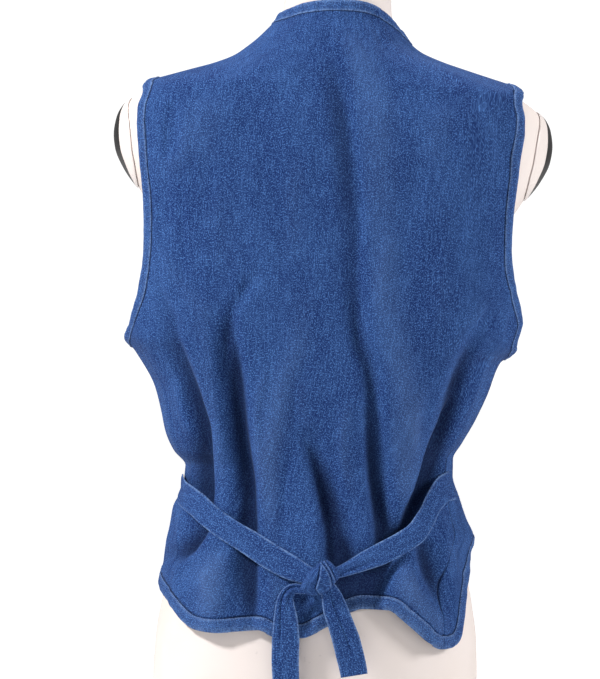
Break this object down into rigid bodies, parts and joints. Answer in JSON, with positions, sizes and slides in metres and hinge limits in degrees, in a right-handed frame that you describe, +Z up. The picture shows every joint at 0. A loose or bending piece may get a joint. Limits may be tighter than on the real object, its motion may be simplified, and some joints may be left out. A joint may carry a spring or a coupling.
{
  "type": "denim vest on a dress form",
  "caption": "Sleeveless denim vest with bound edges and a shirt-tail hem, tied behind at the waist, worn by a limbless dress form.",
  "frame": {"origin": "middle of the dress form's flat base, on the floor", "axes": "+Z up; the garment's back faces -Y, its front +Y; the wearer's right is +X"},
  "size_m": [0.439, 0.2899, 0.8665],
  "materials": {
    "denim": "washed mid-blue denim",
    "form_cover": "smooth warm white",
    "form_trim": "black, satin"
  },
  "bodies": {
    "root": {"back": "denim", "front_left": "denim", "front_right": "denim", "binding_neck_and_fronts": "denim", "binding_armhole_left": "denim", "binding_armhole_right": "denim", "hem_band_back": "denim", "hem_band_front_left": "denim", "hem_band_front_right": "denim", "tie_left": "denim", "tie_right": "denim", "tie_knot": "denim", "tie_end_left": "denim", "tie_end_right": "denim", "form_body": "form_cover", "form_neck_cap": "form_cover", "form_arm_plate_left": "form_trim", "form_arm_plate_right": "form_trim"}
  },
  "joints": []
}
